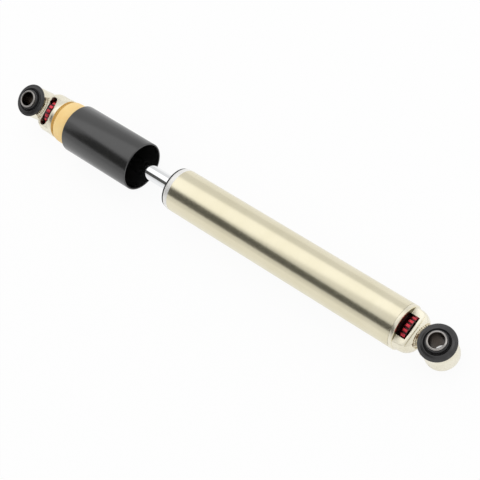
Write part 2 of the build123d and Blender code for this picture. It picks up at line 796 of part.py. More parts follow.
pieces = {
    "lower_eye_ring": eye_ring(),
    "lower_housing": lower_housing(),
    "lower_weld": weld(lower_blank(), flat_height - neck_step),
    "lower_bush": bush(),
    "lower_sleeve": sleeve(),
    "compression_wheel": compression_wheel,
    "compression_needle": compression_needle(),
    "compression_click_ball": click_ball(compression_wheel_end),
    "compression_click_spring": click_spring(compression_wheel_end),
    "needle_seal": o_ring(needle_groove, needle_radius + needle_seal_depth, needle_fit),
    "base_carrier": base_carrier(),
    "carrier_seal": o_ring(carrier_groove, carrier_bore_radius, carrier_bore_radius - carrier_seal_depth),
    "base_valve_bolt": base_valve_bolt(),
    "base_valve_shims": Compound(children=base_shims),
    "body_tube": body_tube(),
    "pressure_tube": pressure_tube(),
    "rod_guide": rod_guide(),
    "guide_bush": guide_bush(),
    "rod_seal": rod_seal(),
    "closing_cap": closing_cap(),
    "stop_plate": stop_plate(),
    "rod_wiper": rod_wiper(),
    "piston_rod": piston_rod(),
    "top_out_washer": on_stud(rod_shoulder - washer_thickness, rod_shoulder - face_gap, bumper_radius),
    "top_out_bumper": top_out_bumper(),
    "piston": piston(),
    "piston_band": piston_band(),
    "piston_nut": piston_nut(),
    "piston_shims": Compound(children=piston_shims),
    "rebound_adjuster": rebound_adjuster(),
    "bump_stop": bump_stop(),
    "dust_tube": dust_tube(),
    "upper_housing": turn * upper_housing(),
    "rod_socket": rod_socket(),
    "rebound_wheel": turn * rebound_wheel,
    "rebound_click_ball": turn * click_ball(rebound_wheel_end),
    "rebound_click_spring": turn * click_spring(rebound_wheel_end),
    "upper_eye_ring": to_upper_eye(eye_ring()),
    "upper_weld": to_upper_eye(weld(upper_blank_as_lower, upper_flat_height - neck_step)),
    "upper_bush": to_upper_eye(bush()),
    "upper_sleeve": to_upper_eye(sleeve()),
}

os.makedirs("parts", exist_ok=True)
for name, shape in pieces.items():
    export_step(shape, f"parts/{name}.step")
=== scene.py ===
# %% [markdown]
# # Dressing a rear suspension damper
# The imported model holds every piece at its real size: a gold twin tube body, two welded eyes with
# rubber bushes, a chrome rod, a black dust tube, a cream bump stop and two red adjuster wheels.
# This lesson gives each piece its finish, models anew the pieces whose edges are rounded, whose
# shape is soft or whose surface is made by hand, and sets up a plain white studio. Positions are in
# metres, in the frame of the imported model: the origin is in the lower eye, X runs along the damper
# and Z is the lower eye's axis. Sizes of pieces are given in millimetres and multiplied by MM.

# %% Load the frame
import bpy
import json
import math
from mathutils import Matrix, Vector


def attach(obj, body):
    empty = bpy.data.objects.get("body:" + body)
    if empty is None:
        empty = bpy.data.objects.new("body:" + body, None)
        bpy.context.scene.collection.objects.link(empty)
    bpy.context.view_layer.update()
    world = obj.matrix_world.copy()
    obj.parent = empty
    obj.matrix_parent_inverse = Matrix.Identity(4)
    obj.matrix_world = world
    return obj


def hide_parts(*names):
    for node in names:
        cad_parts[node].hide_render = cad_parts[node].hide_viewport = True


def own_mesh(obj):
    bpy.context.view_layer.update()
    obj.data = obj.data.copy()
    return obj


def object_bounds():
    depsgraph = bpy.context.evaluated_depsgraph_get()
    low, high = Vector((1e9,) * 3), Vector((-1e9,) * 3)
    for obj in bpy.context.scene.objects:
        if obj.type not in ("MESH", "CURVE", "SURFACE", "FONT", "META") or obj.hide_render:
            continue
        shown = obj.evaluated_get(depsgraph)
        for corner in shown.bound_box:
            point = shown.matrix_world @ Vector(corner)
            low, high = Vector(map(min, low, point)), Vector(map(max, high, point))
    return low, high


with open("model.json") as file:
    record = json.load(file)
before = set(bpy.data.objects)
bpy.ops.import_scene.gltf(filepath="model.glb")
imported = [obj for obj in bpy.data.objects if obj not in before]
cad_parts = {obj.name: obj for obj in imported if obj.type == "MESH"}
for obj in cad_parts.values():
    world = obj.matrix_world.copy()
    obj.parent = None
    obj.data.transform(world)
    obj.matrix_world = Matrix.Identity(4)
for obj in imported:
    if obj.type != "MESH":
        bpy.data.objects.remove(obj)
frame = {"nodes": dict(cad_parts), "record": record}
cad_low, cad_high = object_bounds()
MM = 0.001
nodes = frame["nodes"]
print("nodes", len(nodes), "box", [round(v, 4) for v in cad_low], [round(v, 4) for v in cad_high])

# %% [markdown]
# ## Camera
# The photograph looks down on the damper from the side of the lower eye, with a long lens. The
# camera could be aimed at a target, but a fitted place, turn and lens repeat the view exactly. The
# Standard view keeps white as white, where a film curve would grey it.

# %% Camera
CAMERA_PLACE = (-0.345634, 0.232337, 1.022656)
CAMERA_TURN = (26.343327, 16.646288, -141.277896)
LENS = 93.74
SENSOR = 36.0

camera_data = bpy.data.cameras.new("photo_camera")
camera_data.lens = LENS
camera_data.sensor_width = SENSOR
camera = bpy.data.objects.new("photo_camera", camera_data)
camera.location = CAMERA_PLACE
camera.rotation_euler = [math.radians(angle) for angle in CAMERA_TURN]
bpy.context.scene.collection.objects.link(camera)
bpy.context.scene.camera = camera
bpy.context.scene.view_settings.view_transform = "Standard"
print("camera at", CAMERA_PLACE)

# %% [markdown]
# ## Floor and light tent
# The object was photographed on white, in light that comes from nearly everywhere. A light tent
# is the plain way to get that: a pale floor, a bright world, one large soft lamp overhead that
# makes the long highlight, and a smaller one from the side. The floor is white to the eye and to
# reflections, and its diffuse part keeps a faint shadow, so that no lamp has to bleach it.

# %% Floor
FLOOR_SIZE = 12.0
FLOOR_GAP = 0.0002
FLOOR_GLOW = 0.93
TENT_LEVEL = 0.82


def new_material(name):
    """An empty node material, its tree and its output."""
    material = bpy.data.materials.new(name)
    material.use_nodes = True
    tree = material.node_tree
    tree.nodes.clear()
    output = tree.nodes.new("ShaderNodeOutputMaterial")
    return material, tree, output


def deselect():
    """Leaves nothing selected, so that an operator acts only on what is made next."""
    if bpy.context.object and bpy.context.object.mode != "OBJECT":
        bpy.ops.object.mode_set(mode="OBJECT")
    bpy.ops.object.select_all(action="DESELECT")


def seen_rays(tree):
    """A factor of 1 for rays that show the background: camera, glossy and transmission."""
    path = tree.nodes.new("ShaderNodeLightPath")
    first = tree.nodes.new("ShaderNodeMath")
    first.operation = "MAXIMUM"
    tree.links.new(path.outputs["Is Camera Ray"], first.inputs[0])
    tree.links.new(path.outputs["Is Glossy Ray"], first.inputs[1])
    second = tree.nodes.new("ShaderNodeMath")
    second.operation = "MAXIMUM"
    tree.links.new(first.outputs[0], second.inputs[0])
    tree.links.new(path.outputs["Is Transmission Ray"], second.inputs[1])
    return second.outputs[0]


def floor_material():
    """White card: mostly plain white to the eye, with the object's shadow left in it."""
    material, tree, output = new_material("floor_white")
    card = tree.nodes.new("ShaderNodeBsdfDiffuse")
    card.inputs["Color"].default_value = (0.92, 0.92, 0.92, 1)
    glow = tree.nodes.new("ShaderNodeEmission")
    share = tree.nodes.new("ShaderNodeMath")
    share.operation = "MULTIPLY"
    share.inputs[1].default_value = FLOOR_GLOW
    tree.links.new(seen_rays(tree), share.inputs[0])
    mix = tree.nodes.new("ShaderNodeMixShader")
    tree.links.new(share.outputs[0], mix.inputs[0])
    tree.links.new(card.outputs[0], mix.inputs[1])
    tree.links.new(glow.outputs[0], mix.inputs[2])
    tree.links.new(mix.outputs[0], output.inputs["Surface"])
    return material


deselect()
bpy.ops.mesh.primitive_plane_add(size=FLOOR_SIZE, location=(0, 0, cad_low[2] - FLOOR_GAP))
floor = bpy.context.object
floor.name = "floor"
floor.data.materials.append(floor_material())
print("floor at", round(floor.location.z, 4))

# %% [markdown]
# The world is the tent's cloth. It is plain white where the camera looks past the floor, and a
# little darker as a light, so that the gold keeps its colour. A sky picture would put shapes into
# the reflections that the photograph doesn't have.

# %% World


def tent_world():
    """White to the camera, and an even soft light to everything else."""
    world = bpy.data.worlds.new("tent")
    world.use_nodes = True
    tree = world.node_tree
    back = tree.nodes["Background"]
    back.inputs["Color"].default_value = (1, 1, 1, 1)
    level = tree.nodes.new("ShaderNodeMapRange")
    level.inputs["To Min"].default_value = TENT_LEVEL
    level.inputs["To Max"].default_value = 1.0
    path = tree.nodes.new("ShaderNodeLightPath")
    tree.links.new(path.outputs["Is Camera Ray"], level.inputs["Value"])
    tree.links.new(level.outputs["Result"], back.inputs["Strength"])
    bpy.context.scene.world = world


tent_world()
print("tent level", TENT_LEVEL)

# %% [markdown]
# A lamp adds its light to the world's, and a reflection shows both, so the overhead lamp is weak
# for its size. It is longer and wider than the damper, so that the highlight runs evenly from end
# to end. A small bright lamp would leave a hard spot on every bead of the weld.

# %% Lamps


def aim(item, target):
    """Turns a lamp or a card so that it faces a point."""
    away = Vector(target) - item.location
    item.rotation_euler = away.to_track_quat("-Z", "Y").to_euler()


def lamp(name, place, target, width, height, power):
    """A rectangular soft lamp."""
    data = bpy.data.lights.new(name, "AREA")
    data.shape = "RECTANGLE"
    data.size = width
    data.size_y = height
    data.energy = power
    item = bpy.data.objects.new(name, data)
    item.location = place
    bpy.context.scene.collection.objects.link(item)
    aim(item, target)


MIDDLE = (0.26, 0, 0)
lamp("overhead", (0.85, -0.42, 1.15), MIDDLE, 1.7, 0.95, 2.3)
lamp("fill", (-0.9, -0.9, 0.7), MIDDLE, 1.0, 1.0, 2.5)

print("lamps", [item.name for item in bpy.data.lights])

# %% [markdown]
# ## The dark card
# The dark stripe that runs along every round piece is the reflection of a gap in the tent. A hole
# in the world could make it, but a card can be moved and sized by hand, and only reflections see
# it here. Its height sets the width of the stripe on the tube, and its small roll keeps the
# stripe in line on the rod and on the dust tube too.

# %% Dark card
CARD_ROLL = math.radians(8)
CARD_DARK = (0.11, 0.11, 0.105)
card_material, card_tree, card_output = new_material("card_dark")
dark = card_tree.nodes.new("ShaderNodeBsdfDiffuse")
dark.inputs["Color"].default_value = (*CARD_DARK, 1)
card_tree.links.new(dark.outputs[0], card_output.inputs["Surface"])


def dark_card(name, place, target, width, height):
    """A dark card that shows only in reflections."""
    deselect()
    bpy.ops.mesh.primitive_plane_add(size=1, location=place)
    card = bpy.context.object
    card.name = name
    card.scale = (width, height, 1)
    aim(card, target)
    card.rotation_euler.rotate_axis("Z", CARD_ROLL)
    card.data.materials.append(card_material)
    card.visible_camera = False
    card.visible_shadow = False
    card.visible_diffuse = False


dark_card("stripe_card", (0.500, 0.757, 0.602), (0.043, 0.152, 0), 1.37, 0.56)

print("card rolled by", round(math.degrees(CARD_ROLL)), "degrees")

# %% [markdown]
# ## Finishes
# Every finish here starts from one shader and a noise that is stretched along the marks of the
# tool: rings round the tube for brushing, fine grain for paint and rubber, pores for foam. An image
# could carry the same marks, but a procedural noise on the object's own coordinates stays sharp at
# any size and needs no unwrapping.

# %% Helpers for finishes


def noise(tree, scale, stretch=(1, 1, 1), detail=4.0, rough=0.55):
    """A noise on the object's coordinates, stretched along each axis."""
    place = tree.nodes.new("ShaderNodeTexCoord")
    mapping = tree.nodes.new("ShaderNodeMapping")
    mapping.inputs["Scale"].default_value = stretch
    texture = tree.nodes.new("ShaderNodeTexNoise")
    texture.inputs["Scale"].default_value = scale
    texture.inputs["Detail"].default_value = detail
    texture.inputs["Roughness"].default_value = rough
    tree.links.new(place.outputs["Object"], mapping.inputs["Vector"])
    tree.links.new(mapping.outputs["Vector"], texture.inputs["Vector"])
    return texture.outputs["Fac"]


def spread(tree, value, low, high, start=0.3, end=0.7):
    """Maps part of a value's range onto a range of numbers."""
    remap = tree.nodes.new("ShaderNodeMapRange")
    remap.inputs["From Min"].default_value = start
    remap.inputs["From Max"].default_value = end
    remap.inputs["To Min"].default_value = low
    remap.inputs["To Max"].default_value = high
    tree.links.new(value, remap.inputs["Value"])
    return remap.outputs["Result"]


def between(tree, value, first, second, start=0.3, end=0.7):
    """Mixes two colours by a value."""
    ramp = tree.nodes.new("ShaderNodeValToRGB")
    ramp.color_ramp.elements[0].position = start
    ramp.color_ramp.elements[0].color = (*first, 1)
    ramp.color_ramp.elements[1].position = end
    ramp.color_ramp.elements[1].color = (*second, 1)
    tree.links.new(value, ramp.inputs["Fac"])
    return ramp.outputs["Color"]


def mixed(tree, factor, first, second):
    """Lays the second colour over the first where the factor is 1."""
    blend = tree.nodes.new("ShaderNodeMix")
    blend.data_type = "RGBA"
    tree.links.new(factor, blend.inputs[0])
    for value, socket in ((first, blend.inputs[6]), (second, blend.inputs[7])):
        if isinstance(value, tuple):
            socket.default_value = (*value, 1)
        else:
            tree.links.new(value, socket)
    return blend.outputs[2]


print("colour helpers ready")

# %% [markdown]
# One shader serves for metal, rubber, paint and foam alike: only its numbers differ. The brushed
# and moulded marks are in the roughness and in a very shallow bump, because they are finer than a
# mesh can show.

# %% One finish from a few numbers
COAT_ROUGHNESS = 0.12


def finish(
    name, colours, roughness, marks, wear, bump=0.1, depth=0.00002, metal=0.0, coat=0.0,
    specular=0.5, slant=1.0, cover=None,
):
    """A surface whose colour varies by one noise, and whose gloss and relief vary by another.

    colours is a darker and a lighter tone, and roughness a low and a high value. marks and wear
    are the scale and the stretch of the two noises. slant is the tint at a glancing angle. cover,
    where given, takes the tree and the colour so far, and returns the colour with something laid
    over it, such as a dark bore or heat marks.
    """
    material, tree, output = new_material(name)
    shader = tree.nodes.new("ShaderNodeBsdfPrincipled")
    shader.inputs["Metallic"].default_value = metal
    shader.inputs["Coat Weight"].default_value = coat
    shader.inputs["Coat Roughness"].default_value = COAT_ROUGHNESS
    shader.inputs["Specular IOR Level"].default_value = specular
    shader.inputs["Specular Tint"].default_value = (slant, slant, slant, 1)
    fine = noise(tree, marks[0], marks[1])
    broad = noise(tree, wear[0], wear[1], detail=3.0)
    colour = between(tree, broad, *colours)
    if cover:
        colour = cover(tree, colour)
    tree.links.new(colour, shader.inputs["Base Color"])
    tree.links.new(spread(tree, fine, *roughness), shader.inputs["Roughness"])
    relief = tree.nodes.new("ShaderNodeBump")
    relief.inputs["Strength"].default_value = bump
    relief.inputs["Distance"].default_value = depth
    tree.links.new(fine, relief.inputs["Height"])
    tree.links.new(relief.outputs["Normal"], shader.inputs["Normal"])
    tree.links.new(shader.outputs[0], output.inputs["Surface"])
    return material


ROUND_X = (60, 1, 1)
EVEN = (1, 1, 1)
print("marks round the tube are stretched by", ROUND_X)

# %% [markdown]
# Some pieces get a second colour with a clear border: a sleeve is darker inside its bore, with
# painted floor light at the bore's far end, and a wheel gets painted shade between its lands and on
# its hub. A second piece or a painted map would do it, but a colour chosen by the distance from an
# axis needs neither.

# %% Places on a piece
ACROSS_X = (0, 1, 1)
ACROSS_Z = (1, 1, 0)


def coordinates(tree, turn=0, along=0):
    """The object's coordinates, in a frame turned about X and moved along it."""
    place = tree.nodes.new("ShaderNodeTexCoord")
    mapping = tree.nodes.new("ShaderNodeMapping")
    mapping.vector_type = "TEXTURE"
    mapping.inputs["Location"].default_value = (along, 0, 0)
    mapping.inputs["Rotation"].default_value = (turn, 0, 0)
    tree.links.new(place.outputs["Object"], mapping.inputs["Vector"])
    return mapping.outputs["Vector"]


def from_axis(tree, place, across):
    """The distance from the axis that across leaves out."""
    flat = tree.nodes.new("ShaderNodeVectorMath")
    flat.operation = "MULTIPLY"
    flat.inputs[1].default_value = across
    length = tree.nodes.new("ShaderNodeVectorMath")
    length.operation = "LENGTH"
    tree.links.new(place, flat.inputs[0])
    tree.links.new(flat.outputs["Vector"], length.inputs[0])
    return length.outputs["Value"]


def coordinate(tree, place, axis):
    """One coordinate of a place."""
    parts = tree.nodes.new("ShaderNodeSeparateXYZ")
    tree.links.new(place, parts.inputs[0])
    return parts.outputs[axis]


def product(tree, *values):
    """Several values multiplied: 1 only where all of them are 1."""
    result = values[0]
    for value in values[1:]:
        both = tree.nodes.new("ShaderNodeMath")
        both.operation = "MULTIPLY"
        tree.links.new(result, both.inputs[0])
        tree.links.new(value, both.inputs[1])
        result = both.outputs[0]
    return result


print("place helpers ready")

# %% [markdown]
# ## Metals
# The tube and the housings are zinc plated steel with a yellow passivate, which looks champagne
# gold. The tube is brushed round its axis, and the housings are turned and a little satin. The
# cells that follow first make what is laid over a colour, and then the metals themselves.

# %% Covers: bores with painted floor light, painted shade in recesses and on the step, and the weld heat
EYE_TO_EYE = 0.52
UPPER_TURN = math.radians(-17.6)
BORE_EDGE = (0.0075, 0.0078)
FAR_END = (-0.0112, -0.0108)
# Inside a bore the colour is darker, and at its far end it is painted light: a near white that
# stands in for the bright floor seen through the bore.
BORE_DARKER = (0.075, 0.06, 0.05)
PAINTED_FLOOR_LIGHT = (0.95, 0.95, 0.94)
LAND_EDGE = (0.0007, 0.0002)
# Painted shade: the dark red laid in a wheel's notches and on its hub.
PAINTED_RECESS_SHADE = (0.05, 0.001, 0.006)
STEP_START = (0.0360, 0.0364)
STEP_END = (0.0404, 0.0408)
STEP_FLOOR = (0.0097, 0.0102)
STEP_RIM = (0.0205, 0.0212)
# Painted shade: the dark olive laid on the wall of the step beside the lower flat.
PAINTED_STEP_SHADE = (0.13, 0.105, 0.05)
HEAT_BROWN = (0.22, 0.12, 0.045)
HEAT_SCALE = 170
HEAT_EDGE = (0.53, 0.62)
HEAT_SHARE = 0.9


def dark_bore_painted_light(turn, along):
    """Darkens the inside of a sleeve, apart from its far end, which gets painted light: a near white
    that stands in for the lit floor.
    """

    def cover(tree, colour):
        place = coordinates(tree, turn, along)
        inside = spread(tree, from_axis(tree, place, ACROSS_Z), 1, 0, *BORE_EDGE)
        # The bore is darker where the second mask is 1. Where it is 0, at the far end, the colour is
        # painted floor light.
        skin = spread(tree, coordinate(tree, place, "Z"), 0, 1, *FAR_END)
        lit = mixed(tree, inside, colour, PAINTED_FLOOR_LIGHT)
        return mixed(tree, product(tree, inside, skin), lit, BORE_DARKER)

    return cover


def painted_recess_shade(radius):
    """Paints shade on a wheel where it is nearer to the damper's axis than the lands of its rim."""

    def cover(tree, colour):
        away = from_axis(tree, coordinates(tree), ACROSS_X)
        low = spread(tree, away, 1, 0, *(radius - inset for inset in LAND_EDGE))
        return mixed(tree, low, colour, PAINTED_RECESS_SHADE)

    return cover


def painted_step_shade(tree, colour):
    """Paints shade on the wall of the step beside the lower flat: painted shade, in dark olive."""
    place = coordinates(tree)
    along = coordinate(tree, place, "X")
    share = product(
        tree,
        spread(tree, along, 0, 1, *STEP_START),
        spread(tree, along, 1, 0, *STEP_END),
        spread(tree, coordinate(tree, place, "Z"), 0, 1, *STEP_FLOOR),
        spread(tree, from_axis(tree, place, ACROSS_X), 1, 0, *STEP_RIM),
    )
    return mixed(tree, share, colour, PAINTED_STEP_SHADE)


def heat_marks(tree, colour):
    """Brown spots where the weld got hot and the plating is thin."""
    spots = noise(tree, HEAT_SCALE, EVEN, detail=2.0)
    return mixed(tree, spread(tree, spots, 0, HEAT_SHARE, *HEAT_EDGE), colour, HEAT_BROWN)


print("upper eye turned by", round(math.degrees(UPPER_TURN), 1), "degrees")

# %% [markdown]
# The tube is the largest gold piece, so its two tones are kept close: a plated tube is even along
# its length. The housings and rings are a little paler and rougher, and the weld is bright metal.

# %% Gold finishes
GOLD_DARK = (0.745, 0.69, 0.51)
GOLD_LIGHT = (0.79, 0.735, 0.56)
gold_tube = finish(
    "gold_tube_brushed", (GOLD_DARK, GOLD_LIGHT), (0.17, 0.28), (150, ROUND_X), (14, (2, 1, 1)),
    bump=0.12, depth=0.00001, metal=1.0,
)
gold_housing = finish(
    "gold_housing_satin", ((0.79, 0.735, 0.58), (0.90, 0.86, 0.72)), (0.24, 0.36), (1100, EVEN),
    (60, EVEN), bump=0.08, metal=1.0, cover=painted_step_shade,
)
weld_bead = finish(
    "weld_bead_bright", ((0.66, 0.57, 0.40), (0.86, 0.81, 0.66)), (0.26, 0.42), (700, EVEN),
    (330, EVEN), bump=0.2, metal=1.0, cover=heat_marks,
)
print("gold finishes made")

# %% [markdown]
# The sleeves are zinc plated, the rod is hard chrome, the cap is plain turned steel and the two
# adjuster wheels are aluminium with a red anodised skin, which is a clear coat on coloured metal.

# %% Sleeves, cap, rod and wheels
STEEL_TONES = ((0.30, 0.285, 0.27), (0.46, 0.44, 0.42))
lower_sleeve_steel = finish(
    "lower_sleeve_zinc", STEEL_TONES, (0.24, 0.4), (1200, EVEN), (160, EVEN), bump=0.12, metal=1.0,
    slant=0.55, cover=dark_bore_painted_light(0, 0),
)
upper_sleeve_steel = finish(
    "upper_sleeve_zinc", STEEL_TONES, (0.24, 0.4), (1200, EVEN), (160, EVEN), bump=0.12, metal=1.0,
    slant=0.55, cover=dark_bore_painted_light(UPPER_TURN, EYE_TO_EYE),
)
cap_steel = finish(
    "cap_turned", ((0.83, 0.82, 0.80), (0.93, 0.92, 0.90)), (0.42, 0.55), (110, ROUND_X),
    (80, EVEN), bump=0.1, metal=0.7,
)
rod_chrome = finish(
    "rod_chrome", ((0.84, 0.85, 0.86), (0.90, 0.90, 0.91)), (0.04, 0.08), (120, ROUND_X),
    (30, EVEN), bump=0.02, metal=1.0,
)
RED_TONES = ((0.58, 0.02, 0.04), (0.74, 0.045, 0.075))
lower_wheel_red = finish(
    "lower_wheel_red", RED_TONES, (0.2, 0.32), (1300, EVEN), (120, EVEN), bump=0.1, metal=0.8,
    coat=0.5, cover=painted_recess_shade(0.0144),
)
upper_wheel_red = finish(
    "upper_wheel_red", RED_TONES, (0.2, 0.32), (1300, EVEN), (120, EVEN), bump=0.1, metal=0.8,
    coat=0.5, cover=painted_recess_shade(0.01535),
)
print("outer metals made")

# %% [markdown]
# The pieces inside the tube are not to be seen, but a part that may be taken to pieces has them
# dressed too: plain steel, sintered iron, aluminium and bronze.

# %% Inner metals
inner_steel = finish(
    "inner_steel", ((0.42, 0.42, 0.42), (0.56, 0.56, 0.56)), (0.25, 0.4), (900, EVEN), (100, EVEN),
    metal=1.0,
)
sintered_iron = finish(
    "sintered_iron", ((0.20, 0.20, 0.21), (0.34, 0.34, 0.35)), (0.4, 0.6), (2400, EVEN),
    (200, EVEN), metal=1.0, bump=0.4,
)
inner_aluminium = finish(
    "inner_aluminium", ((0.60, 0.61, 0.62), (0.72, 0.72, 0.73)), (0.25, 0.4), (90, ROUND_X),
    (100, EVEN), metal=1.0,
)
slide_bronze = finish(
    "slide_bronze", ((0.45, 0.30, 0.14), (0.60, 0.44, 0.22)), (0.3, 0.45), (900, EVEN), (120, EVEN),
    metal=1.0,
)
print("inner metals made")

# %% [markdown]
# ## Rubber, foam, paint and plastic
# Moulded rubber is dark grey rather than black, because its skin is a little dull. The dust tube is
# black with a satin shine. The bump stop is a microcellular foam, with a smooth cream skin.

# %% Soft and painted surfaces
bush_rubber = finish(
    "bush_rubber_moulded", ((0.016, 0.0155, 0.0165), (0.028, 0.027, 0.028)), (0.24, 0.34),
    (1500, EVEN), (140, EVEN), bump=0.2, specular=0.6,
)
seal_rubber = finish(
    "seal_rubber", ((0.012, 0.012, 0.012), (0.022, 0.022, 0.022)), (0.35, 0.5), (1500, EVEN),
    (140, EVEN),
)
dust_black = finish(
    "dust_tube_black", ((0.008, 0.008, 0.008), (0.012, 0.012, 0.012)), (0.19, 0.25), (2600, EVEN),
    (60, EVEN), bump=0.15, specular=1.0,
)
plate_black = finish(
    "stop_plate_black", ((0.010, 0.010, 0.010), (0.018, 0.018, 0.018)), (0.4, 0.5), (1800, EVEN),
    (90, EVEN),
)
stop_foam = finish(
    "stop_foam_cream", ((0.98, 0.66, 0.25), (1.0, 0.74, 0.32)), (0.4, 0.55), (2200, EVEN),
    (90, EVEN), bump=0.25,
)
slide_polymer = finish(
    "slide_polymer", ((0.06, 0.05, 0.04), (0.10, 0.08, 0.06)), (0.4, 0.55), (1500, EVEN),
    (140, EVEN),
)
print("soft surfaces made")

# %% [markdown]
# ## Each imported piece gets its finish
# The record names a material slot for every piece, so one table from slot to finish dresses them
# all. The sleeves differ only in where their dark bores lie, and the wheels in their size.

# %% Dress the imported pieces
finishes = {
    "gold_tube": gold_tube, "gold_housing": gold_housing, "weld_bead": weld_bead,
    "bush_rubber": bush_rubber, "sleeve_steel": lower_sleeve_steel, "cap_steel": cap_steel,
    "rod_chrome": rod_chrome, "red_wheel": lower_wheel_red, "dust_black": dust_black,
    "stop_foam": stop_foam, "inner_steel": inner_steel, "plate_black": plate_black,
    "sintered_iron": sintered_iron, "inner_aluminium": inner_aluminium,
    "slide_bronze": slide_bronze, "slide_polymer": slide_polymer, "seal_rubber": seal_rubber,
}
slot_of = {row["node"]: row["material_slot"] for row in frame["record"]["subparts"]}
bodies = frame["record"]["behaviour"]["bodies"]
body_of = {name: body for body, names in bodies.items() for name in names}
for name, item in nodes.items():
    item.data.materials.clear()
    item.data.materials.append(finishes[slot_of[name]])
nodes["upper_sleeve"].data.materials[0] = upper_sleeve_steel
nodes["rebound_wheel"].data.materials[0] = upper_wheel_red
print("dressed", len(slot_of), "pieces")

# %% [markdown]
# ## Rounded edges on the machined pieces
# No machined edge is perfectly sharp: a file or a tumbler breaks it, and the small round catches
# the light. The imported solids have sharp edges, so each piece whose edges are in view gets a copy.
# Its loose triangles are merged into faces, and a Bevel modifier rounds its edges. Bevelling by
# angle leaves the facets of the round surfaces alone.

# %% Copies with rounded edges
MERGE = 0.000002
SMOOTH_ANGLE = math.radians(32)
BEVEL_ANGLE = math.radians(28)
FLAT_ANGLE = math.radians(0.5)


def only(piece):
    """Selects one object and makes it active."""
    deselect()
    piece.select_set(True)
    bpy.context.view_layer.objects.active = piece


def apply_all(piece):
    """Applies the modifiers of a piece in their order."""
    only(piece)
    for modifier in list(piece.modifiers):
        bpy.ops.object.modifier_apply(modifier=modifier.name)


def stand_for(piece, node):
    """Gives a finished piece the body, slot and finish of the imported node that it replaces."""
    piece.data.materials.clear()
    piece.data.materials.append(nodes[node].data.materials[0])
    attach(piece, body_of[node])
    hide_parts(node)
    print(piece.name, "faces", len(piece.data.polygons))


def round_edges(node, width, segments):
    """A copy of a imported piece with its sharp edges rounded, in its place."""
    piece = bpy.data.objects.new("soft_" + node, nodes[node].data.copy())
    bpy.context.scene.collection.objects.link(piece)
    only(piece)
    bpy.ops.object.mode_set(mode="EDIT")
    bpy.ops.mesh.select_all(action="SELECT")
    bpy.ops.mesh.remove_doubles(threshold=MERGE)
    bpy.ops.mesh.dissolve_limited(angle_limit=FLAT_ANGLE)
    bpy.ops.object.mode_set(mode="OBJECT")
    bevel = piece.modifiers.new("round", "BEVEL")
    bevel.width = width * MM
    bevel.segments = segments
    bevel.limit_method = "ANGLE"
    bevel.angle_limit = BEVEL_ANGLE
    bevel.use_clamp_overlap = False
    apply_all(piece)
    bpy.ops.object.shade_smooth_by_angle(angle=SMOOTH_ANGLE)
    stand_for(piece, node)


WIDTH_AND_STEPS = {
    "lower_housing": (0.3, 3), "upper_housing": (0.3, 3), "lower_eye_ring": (0.25, 3),
    "upper_eye_ring": (0.25, 3), "compression_wheel": (0.15, 2), "rebound_wheel": (0.15, 2),
    "stop_plate": (0.2, 3), "closing_cap": (0.25, 3), "dust_tube": (0.3, 3),
    "lower_sleeve": (0.2, 3), "upper_sleeve": (0.2, 3),
}
for name, (width, steps) in WIDTH_AND_STEPS.items():
    round_edges(name, width, steps)

# %% [markdown]
# ## Rubber bushes
# A bush is moulded in one piece: a body that fills the ring, a wide beaded rim beside it, a face
# that rises to a ridge, a groove, and a thin collar that climbs the steel sleeve. A round piece can
# be spun from a profile. Here a circle is drawn out along the profile, ring by ring, as a potter
# would, because then each pair of numbers is one ring that can be measured on the real bush.

# %% Drawing out a turned piece
TURNED_ANGLE = math.radians(40)


def drawn_out(name, profile, steps, upright):
    """A closed round piece from pairs of (radius, height) in millimetres.

    It stands on Z where upright is true, and otherwise lies along X.
    """
    deselect()
    radius, height = profile[0]
    start = (0, 0, height * MM)
    bpy.ops.mesh.primitive_circle_add(vertices=steps, radius=radius * MM, location=start)
    piece = bpy.context.object
    piece.name = name
    bpy.ops.object.transform_apply(location=True, rotation=True, scale=True)
    bpy.ops.object.mode_set(mode="EDIT")
    bpy.ops.mesh.select_all(action="SELECT")
    for (radius, height), (wide, high) in zip(profile, profile[1:] + profile[:1]):
        rise = (0, 0, (high - height) * MM)
        bpy.ops.mesh.extrude_region_move(TRANSFORM_OT_translate={"value": rise})
        factor = wide / radius
        bpy.ops.transform.resize(value=(factor, factor, 1), center_override=(0, 0, high * MM))
    bpy.ops.mesh.select_all(action="SELECT")
    bpy.ops.mesh.remove_doubles(threshold=MERGE)
    bpy.ops.mesh.normals_make_consistent(inside=False)
    bpy.ops.object.mode_set(mode="OBJECT")
    if not upright:
        piece.rotation_euler = (0, math.pi / 2, 0)
        bpy.ops.object.transform_apply(location=True, rotation=True, scale=True)
    bpy.ops.object.shade_smooth_by_angle(angle=TURNED_ANGLE)
    return piece


print("turned pieces keep edges over", round(math.degrees(TURNED_ANGLE)), "degrees")


# %% Bushes
FRONT_HALF = [
    (13.47, 0), (13.47, 13.05), (17.3, 13.05), (17.7, 13.3), (17.88, 13.8), (17.85, 14.3),
    (17.6, 14.7), (17.1, 14.8), (16.4, 14.75), (15.7, 14.8), (15.0, 15.05), (13.9, 15.75),
    (13.3, 16.15), (12.9, 16.25), (12.55, 16.15), (12.3, 15.8), (12.1, 15.2), (11.8, 14.6),
    (11.4, 14.25), (11.0, 14.2), (10.7, 14.45), (10.55, 15.0), (10.45, 17.9), (10.3, 18.25),
    (10.0, 18.38), (9.29, 18.38),
]
BACK_HALF = [
    (9.29, -18.38), (10.0, -18.38), (10.3, -18.25), (10.45, -17.9), (10.55, -15.0), (10.7, -14.45),
    (11.0, -14.2), (11.4, -14.25), (11.8, -14.6), (12.1, -15.2), (12.3, -15.75), (12.6, -16.0),
    (13.2, -15.9), (14.2, -15.3), (14.8, -14.9), (15.05, -14.3), (15.0, -13.7), (14.7, -13.15),
    (14.3, -13.05), (13.47, -13.05),
]
RIM_FOOT = 13.05
RIM_START = 13.5
